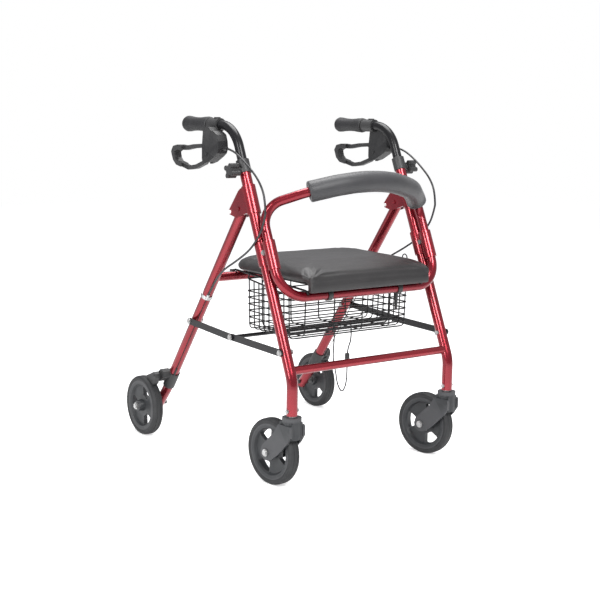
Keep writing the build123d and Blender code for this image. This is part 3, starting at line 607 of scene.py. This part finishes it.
for side, word in ((-1, "left"), (1, "right")):
    upper = [
        at(side * CABLE_X, 0.2398, 0.7425),
        at(side * 0.251, 0.212, 0.739),
        at(side * 0.252, 0.176, 0.722),
        at(side * CABLE_X, 0.140, 0.700),
        at(side * CABLE_X, 0.105, 0.672),
        at(side * CABLE_X, 0.086, 0.640),
        at(side * CABLE_X, 0.084, 0.609),
    ]
    lower = [
        at(side * CABLE_X, 0.084, 0.609),
        at(side * CABLE_X, 0.092, 0.578),
        at(side * CABLE_X, 0.112, 0.550),
        at(side * CABLE_X, 0.146, 0.519),
        at(side * CABLE_X, 0.200, 0.489),
        at(side * CABLE_X, 0.254, 0.463),
        at(side * 0.2415, *along_rear(0.210, 0.0174)),
        at(side * 0.240, *along_rear(0.2535, 0.0144)),
    ]
    top = curve_to_mesh(nurbs_curve("brake_cable_upper_" + word, upper, CABLE_R, SHEATH))
    low = curve_to_mesh(nurbs_curve("brake_cable_lower_" + word, lower, CABLE_R, SHEATH))
    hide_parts("cable_upper_" + word)
    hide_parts("cable_lower_" + word)
    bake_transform(top)
    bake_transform(low)

# ------------------------------------------------------------------ foam sleeve on the backrest
SLEEVE_BORE = 0.01105
SLEEVE_R = 0.0242
SLEEVE_SIDES = 48
SLEEVE_STEP = 0.004
LIP = 0.0010
BOW_RADII = (0.052, 0.112, 0.242)
BACK_A = (LEG_X, *on_leg(0.6171, TUBE_FORWARD))
BACK_B = (0.153, 0.065, 0.652)
BACK_C = (0.057, 0.027, 0.675)
foot = on_leg(0.5145, TUBE_FORWARD)
half_right = [at(*BACK_C), at(*BACK_B), at(*BACK_A), at(LEG_X, *foot)]
half_left = [Vector((-p.x, p.y, p.z)) for p in reversed(half_right)]
bow = rounded_path(half_left + half_right, BOW_RADII + BOW_RADII[::-1])
left_cut = at(-0.149, 0.063, 0.653)
right_cut = at(0.216, 0.115, 0.613)
start_i = min(range(len(bow)), key=lambda i: (bow[i] - left_cut).length)
end_i = min(range(len(bow)), key=lambda i: (bow[i] - right_cut).length)
sleeve_path = resample(bow[start_i : end_i + 1], SLEEVE_STEP)


def foam_sleeve(name, path, material):
    """Outside and rounded lips of a thick sleeve; the surface stops inside each bore."""
    frames = path_frames(path)

    def ring(place, along, radius):
        t, a, b = frames[place]
        centre = path[place] + t * along
        made = []
        for p in circle(centre, a, b, 1.0, SLEEVE_SIDES):
            d = p - centre
            soft = 0.0
            if radius > 0.015:
                soft = noise.noise((centre + d * 0.02) * 28.0) * 0.00055
            made.append(centre + d * (radius + soft))
        return made

    # one end of the sleeve, from the bore outwards: step inwards, radius
    lip = (
        (LIP, SLEEVE_BORE),
        (0.0, SLEEVE_BORE + 0.0015),
        (-0.0004, SLEEVE_R - 0.0030),
        (LIP, SLEEVE_R - 0.0006),
    )
    rows = [ring(0, inward, radius) for inward, radius in lip]
    rows += [ring(i, 0.0, SLEEVE_R) for i in range(1, len(path) - 1)]
    rows += [ring(-1, -inward, radius) for inward, radius in reversed(lip)]
    verts = [v for row in rows for v in row]
    return add_mesh(name, verts, skin(len(rows), SLEEVE_SIDES), material)


sleeve = foam_sleeve("backrest_foam_sleeve", sleeve_path, FOAM)
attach(sleeve, "frame")
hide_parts("backrest_pad")


# ------------------------------------------------------------------ padded seat
SEAT_HALF = 0.187
SEAT_FRONT = 0.012
SEAT_REAR = 0.334
SEAT_LOW = 0.4550
SEAT_TOP = 0.4930
CORNER_STEPS = 14
LIP_Y = 0.0200
# rows of the cushion from the underside up: inset of the outline, height
SEAT_LEVELS = (
    (0.030, SEAT_LOW),
    (0.007, 0.4552),
    (0.002, 0.4590),
    (0.0010, 0.4650),
    (0.0030, 0.4710),
    (0.0090, 0.4775),
    (0.0190, 0.4835),
    (0.0340, 0.4880),
    (0.0560, 0.4913),
    (0.0850, SEAT_TOP),
)


def seat_loop(inset, z):
    """Plan outline of the seat with large rear corners, at a height."""
    hx = SEAT_HALF - inset
    y0 = SEAT_FRONT + inset
    y1 = SEAT_REAR - inset
    front_round = 0.028 - inset * 0.3
    rear_round = 0.062 - inset * 0.5
    corners = (
        (hx - front_round, y0 + front_round, front_round, -90),
        (hx - rear_round, y1 - rear_round, rear_round, 0),
        (-hx + rear_round, y1 - rear_round, rear_round, 90),
        (-hx + front_round, y0 + front_round, front_round, 180),
    )
    loop = []
    for cx, cy, r, start in corners:
        for k in range(CORNER_STEPS):
            w = math.radians(start + 90.0 * k / (CORNER_STEPS - 1))
            loop.append(at(cx + r * math.cos(w), cy + r * math.sin(w), z))
    return loop


def seat_top(side_y):
    """Height of the cushion: level at the back, falling to the front edge."""
    run = clamp((0.118 - side_y) / 0.103)
    return SEAT_TOP - 0.0195 * run**1.9


def seat_body():
    """Cushion, with the cover drawn down over the front edge."""
    verts = []
    for inset, z in SEAT_LEVELS:
        for p in seat_loop(inset, z):
            side_y = p.y - SHIFT
            square = clamp(1.0 - (side_y - SEAT_FRONT) / 0.10)
            share = (z - SEAT_LOW) / (SEAT_TOP - SEAT_LOW)
            share = share ** (1.0 - 0.72 * square)
            p.z = SEAT_LOW + share * (seat_top(side_y) - SEAT_LOW)
            verts.append(p)
    rows = len(SEAT_LEVELS)
    size = len(verts) // rows
    faces = skin(rows, size) + end_caps(rows, size)
    body = add_mesh("seat_cushion", verts, faces, VINYL)
    ends = [at(-0.174, LIP_Y, 0.4412), at(0.174, LIP_Y, 0.4412)]
    lip = tube("seat_lip", ends, 0.0088, VINYL, 16)
    apron = bmesh.new()
    bmesh.ops.create_cube(apron, size=1.0)
    for v in apron.verts:
        x, y, z = v.co
        v.co = at(x * 0.348, LIP_Y + y * 0.0172, 0.4560 + z * 0.0300)
    mesh = bpy.data.meshes.new("seat_apron")
    apron.to_mesh(mesh)
    apron.free()
    drop = link_object("seat_apron", mesh)
    return join([body, lip, drop], "seat_cushion")


def apply_modifier(obj, name):
    bpy.ops.object.select_all(action="DESELECT")
    obj.select_set(True)
    bpy.context.view_layer.objects.active = obj
    bpy.ops.object.modifier_apply(modifier=name)


def puff(obj, cap, pressure, voxel, hold, frames=20):
    """Inflates a closed form as cloth; no point moves further than cap."""
    remesh = obj.modifiers.new("Remesh", "REMESH")
    remesh.mode = "VOXEL"
    remesh.voxel_size = voxel
    apply_modifier(obj, "Remesh")
    rest = [v.co.copy() for v in obj.data.vertices]
    group = obj.vertex_groups.new(name="hold")
    for v in obj.data.vertices:
        group.add([v.index], hold(v.co), "REPLACE")
    cloth = obj.modifiers.new("Cloth", "CLOTH")
    cloth.settings.quality = 6
    cloth.settings.mass = 0.25
    cloth.settings.tension_stiffness = 15
    cloth.settings.compression_stiffness = 15
    cloth.settings.bending_stiffness = 0.6
    cloth.settings.use_pressure = True
    cloth.settings.uniform_pressure_force = pressure
    cloth.settings.effector_weights.gravity = 0.0
    cloth.settings.vertex_group_mass = "hold"
    cloth.point_cache.frame_start = 1
    cloth.point_cache.frame_end = frames
    scene = bpy.context.scene
    for f in range(1, frames + 1):
        scene.frame_set(f)
    apply_modifier(obj, "Cloth")
    scene.frame_set(1)
    for v, p in zip(obj.data.vertices, rest):
        move = v.co - p
        if move.length > cap:
            v.co = p + move.normalized() * cap


# how far the finished cover may reach
COVER_FRONT = SHIFT + 0.0098
COVER_LOW, COVER_HIGH = 0.4320, 0.4965
COVER_HALF = 0.1885

seat = seat_body()
puff(
    seat,
    cap=0.0028,
    pressure=1.6,
    voxel=0.004,
    hold=lambda co: 1.0 if co.z < 0.4575 else 0.0,
)
for v in seat.data.vertices:
    side_y = v.co.y - SHIFT
    # the cover is creased where it is pulled over the front edge
    front = max(0.0, 1.0 - side_y / 0.040)
    v.co.y += 0.0035 * front * math.exp(-(((v.co.z - 0.4560) / 0.0030) ** 2))
    v.co.y = max(v.co.y, COVER_FRONT)
    v.co.z = max(v.co.z, COVER_LOW)
    if v.co.z > 0.4850:
        # a shallow hollow where people sit, and slack in the cover
        sat = math.exp(-(((v.co.x / 0.12) ** 2) + ((side_y - 0.19) / 0.11) ** 2))
        v.co.z -= 0.0012 * sat
        v.co.z += 0.0006 * noise.noise(Vector((v.co.x * 22, v.co.y * 22, 3.1)))
    v.co.z = min(v.co.z, COVER_HIGH)
    v.co.x = clamp(v.co.x, -COVER_HALF, COVER_HALF)
finer = seat.modifiers.new("Subdivision", "SUBSURF")
finer.levels = 1
finer.render_levels = 1
shade_smooth(seat.data)
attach(seat, "seat")
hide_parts("seat_pad")

# ------------------------------------------------------------------ wire basket
BX = 0.1715
FRONT_LOW, FRONT_TOP = 0.0925, 0.0895
REAR_LOW, REAR_TOP = 0.2610, 0.2655
BOTTOM = 0.3178
DEPTH = 0.115
FLARE = 0.0030
CORNER = 0.010
WIRE_R = 0.0016
RIM_R = 0.0021
RAIL_R = 0.0025
HOOK = 0.0143
RAIL_X = 0.168
RING_R = 0.0085
SEAT_AXIS = on_leg(SEAT_TUBE_Z, TUBE_FORWARD)


def rim_z(y):
    """Height of the rim, which rises to the back."""
    return 0.4165 + (y - FRONT_TOP) / (REAR_TOP - FRONT_TOP) * 0.0205


def flare(z):
    """How far each side wall leans out at a height."""
    return FLARE * (z - BOTTOM) / DEPTH


wires = []


def bar(name, path, radius, sides):
    wires.append(tube(name, path, radius, WIRE, sides))


def wire(points, bend, radius=WIRE_R, sides=8):
    """Bent wire, with the same bend radius at every corner."""
    path = rounded_path(points, [bend] * (len(points) - 2))
    bar("wire", resample(path, 0.004), radius, sides)


# hoops across: down one side, over the bottom, up the other side
for k in range(9):
    y = FRONT_LOW + 0.004 + k * (REAR_LOW - FRONT_LOW - 0.008) / 8
    top_z = rim_z(y)
    wire(
        [
            at(-BX - flare(top_z), y, top_z),
            at(-BX, y, BOTTOM),
            at(BX, y, BOTTOM),
            at(BX + flare(top_z), y, top_z),
        ],
        CORNER,
    )
# hoops fore and aft: down the front, over the bottom, up the back
for k in range(4):
    x = -0.132 + 0.084 * k
    wire(
        [
            at(x, FRONT_TOP, rim_z(FRONT_TOP)),
            at(x, FRONT_LOW, BOTTOM + 0.0028),
            at(x, REAR_LOW, BOTTOM + 0.0028),
            at(x, REAR_TOP, rim_z(REAR_TOP)),
        ],
        CORNER,
    )
# rings round the basket
for k in range(6):
    z = 0.3300 + 0.0156 * k
    t = (z - BOTTOM) / DEPTH
    y0 = FRONT_LOW + (FRONT_TOP - FRONT_LOW) * t - 0.0014
    y1 = REAR_LOW + (REAR_TOP - REAR_LOW) * t + 0.0014
    hx = BX + flare(z) + 0.0014
    ring_path = [
        at(-hx, y0 + 0.02, z),
        at(-hx, y1, z),
        at(hx, y1, z),
        at(hx, y0, z),
        at(-hx, y0, z),
        at(-hx, y0 + 0.02, z),
    ]
    wire(ring_path, 0.008)
# rim: a heavier ring, higher at the back
RIM_X = BX + FLARE
RIM_PLAN = (
    (-RIM_X, FRONT_TOP + 0.01),
    (-RIM_X, REAR_TOP),
    (RIM_X, REAR_TOP),
    (RIM_X, FRONT_TOP),
    (-RIM_X, FRONT_TOP),
    (-RIM_X, FRONT_TOP + 0.01),
)
wire([at(x, y, rim_z(y)) for x, y in RIM_PLAN], 0.009, RIM_R, 10)
# a stiffer wire under the front edge
front_y = FRONT_LOW + 0.004
bar("wire", [at(-0.158, front_y, BOTTOM), at(0.158, front_y, BOTTOM)], 0.0018, 10)


def hook(x, centre, angle):
    """Point on a rail where it bends round a tube."""
    w = math.radians(angle)
    return at(x, centre[0] + HOOK * math.cos(w), centre[1] + HOOK * math.sin(w))


# side rails: hook over the seat tube, run back and hook over the rear tube
for side in (-1, 1):
    x = side * RAIL_X
    line = [hook(x, SEAT_AXIS, 150 - 57 * k / 12) for k in range(13)]
    line += [hook(x, REAR_TUBE, 93 - 98 * k / 12) for k in range(13)]
    bar("rail", resample(line, 0.003), RAIL_R, 12)
    bar("stub", [at(x, 0.324, 0.4502), at(side * 0.185, 0.324, 0.4502)], RAIL_R, 12)
    for post_y in (FRONT_TOP + 0.003, 0.150, 0.205, REAR_TOP - 0.001):
        top_z = 0.4366 + (post_y - 0.044) * 0.014 / 0.2805
        foot_point = at(side * 0.1735, post_y, rim_z(post_y))
        bar("post", [foot_point, at(x, post_y, top_z)], 0.0014, 8)

# small ring on the right rail, the loop of the lifting strap
centre = at(0.197, 0.129, 0.479)
ring = []
for k in range(29):
    w = 2 * math.pi * k / 28
    ring.append(centre + Vector((0.0, math.cos(w), math.sin(w))) * RING_R)
bar("ring", ring, 0.0015, 8)
ring_leg = [
    centre + Vector((0, 0, -RING_R)),
    at(0.197, 0.129, 0.4475),
    at(RAIL_X, 0.129, 0.4408),
]
bar("ring_leg", resample(ring_leg, 0.003), 0.0015, 8)

basket = join(wires, "wire_basket")
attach(basket, "basket")
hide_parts("basket")

# ------------------------------------------------------------------ stage and light
bpy.ops.mesh.primitive_plane_add(size=14, location=(0, 0, 0))
floor = bpy.context.object
floor.name = "floor"
floor_mat, floor_tree, floor_bsdf = new_material("studio_floor")
floor_bsdf.inputs["Base Color"].default_value = (0.97, 0.97, 0.97, 1)
floor_bsdf.inputs["Roughness"].default_value = 0.7
floor_bsdf.inputs["Emission Color"].default_value = (1.0, 1.0, 1.0, 1.0)
# the camera sees the floor a little brighter, so that it ends in plain white
floor_path = floor_tree.nodes.new("ShaderNodeLightPath")
floor_glow = floor_tree.nodes.new("ShaderNodeMath")
floor_glow.operation = "MULTIPLY"
floor_glow.inputs[1].default_value = 0.52
floor_tree.links.new(floor_path.outputs["Is Camera Ray"], floor_glow.inputs[0])
floor_tree.links.new(floor_glow.outputs["Value"], floor_bsdf.inputs["Emission Strength"])
floor.data.materials.append(floor_mat)

world = bpy.data.worlds.new("Studio")
bpy.context.scene.world = world
world.use_nodes = True
# white to the camera, half as bright to everything else
sky = world.node_tree
seen = sky.nodes["Background"]
seen.inputs["Color"].default_value = (1.0, 1.0, 1.0, 1.0)
seen.inputs["Strength"].default_value = 1.0
bounce = sky.nodes.new("ShaderNodeBackground")
bounce.inputs["Color"].default_value = (0.97, 0.97, 1.0, 1.0)
bounce.inputs["Strength"].default_value = 0.50
ray = sky.nodes.new("ShaderNodeLightPath")
choose = sky.nodes.new("ShaderNodeMixShader")
sky.links.new(ray.outputs["Is Camera Ray"], choose.inputs[0])
sky.links.new(bounce.outputs["Background"], choose.inputs[1])
sky.links.new(seen.outputs["Background"], choose.inputs[2])
sky.links.new(choose.outputs["Shader"], sky.nodes["World Output"].inputs["Surface"])
bpy.context.scene.view_settings.view_transform = "Standard"


def area_light(name, place, target, size, power):
    data = bpy.data.lights.new(name, "AREA")
    data.energy = power
    data.shape = "RECTANGLE"
    data.size = size[0]
    data.size_y = size[1]
    obj = link_object(name, data)
    obj.location = place
    direction = Vector(target) - Vector(place)
    obj.rotation_euler = direction.to_track_quat("-Z", "Y").to_euler()


area_light("key", (-0.6, -2.6, 2.4), (0, 0, 0.4), (1.2, 1.2), 75)
area_light("left_strip", (-2.6, -0.8, 1.4), (0, 0, 0.4), (0.5, 1.8), 40)
area_light("top", (0.3, 0.4, 2.6), (0, 0, 0.3), (1.6, 1.6), 60)

bpy.context.view_layer.update()
